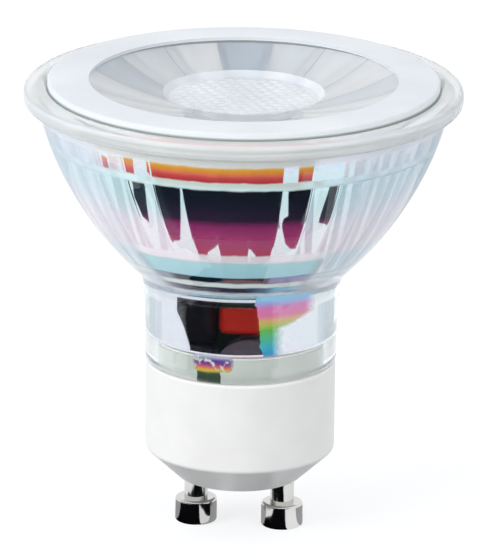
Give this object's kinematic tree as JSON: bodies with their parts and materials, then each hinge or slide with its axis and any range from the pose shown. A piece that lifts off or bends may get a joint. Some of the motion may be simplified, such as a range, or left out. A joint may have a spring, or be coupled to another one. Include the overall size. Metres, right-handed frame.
{
  "type": "spotlight bulb",
  "caption": "GU10 spotlight bulb: fluted glass reflector with a clear optic, a driver inside and a white base with twist-lock pins.",
  "frame": {"origin": "on the bulb's axis, in the plane of the pin heads' end faces", "axes": "+Z along the bulb's axis from the pins to the optic, +X through the right-hand contact pin"},
  "size_m": [0.05, 0.05, 0.0531],
  "materials": {
    "coated_glass": "polished outside, with a mirror coat on the fluted inside",
    "clear_acrylic": "clear, with a frosted ring",
    "silicone": "translucent",
    "white_board": "white solder mask",
    "white_silicone": "matte",
    "phosphor": "matte",
    "plated_steel": "zinc plated",
    "solder": "bright",
    "red_wire": "satin",
    "black_wire": "satin",
    "thermal_pad": "matte",
    "aluminium": "drawn",
    "circuit_board": "satin",
    "capacitor_sleeve": "satin sleeve",
    "ferrite": "matte",
    "copper_wire": "enamelled",
    "film_capacitor_case": "dipped",
    "resistor_paint": "painted",
    "chip_package": "moulded",
    "chip_ceramic": "glazed",
    "white_plastic": "satin",
    "nickel_plate": "bright nickel plate"
  },
  "bodies": {
    "root": {"glass_reflector": "coated_glass", "front_lens": "clear_acrylic", "lens_seal": "silicone", "led_board": "white_board", "led_dam_ring": "white_silicone", "led_phosphor": "phosphor", "board_screws": "plated_steel", "led_solder_joints": "solder", "led_wire_positive": "red_wire", "led_wire_negative": "black_wire", "thermal_pad": "thermal_pad", "heat_spreader": "aluminium", "driver_board": "circuit_board", "bulk_capacitor": "capacitor_sleeve", "output_capacitor": "capacitor_sleeve", "inductor_core": "ferrite", "inductor_winding": "copper_wire", "film_capacitor": "film_capacitor_case", "fuse_resistor": "resistor_paint", "bridge_rectifier": "chip_package", "driver_chip": "chip_package", "freewheel_diode": "chip_package", "chip_resistors": "chip_ceramic", "live_wire": "red_wire", "neutral_wire": "black_wire", "base_cap": "white_plastic", "base_cement": "silicone", "contact_pin_right": "nickel_plate", "contact_pin_left": "nickel_plate"}
  },
  "joints": []
}
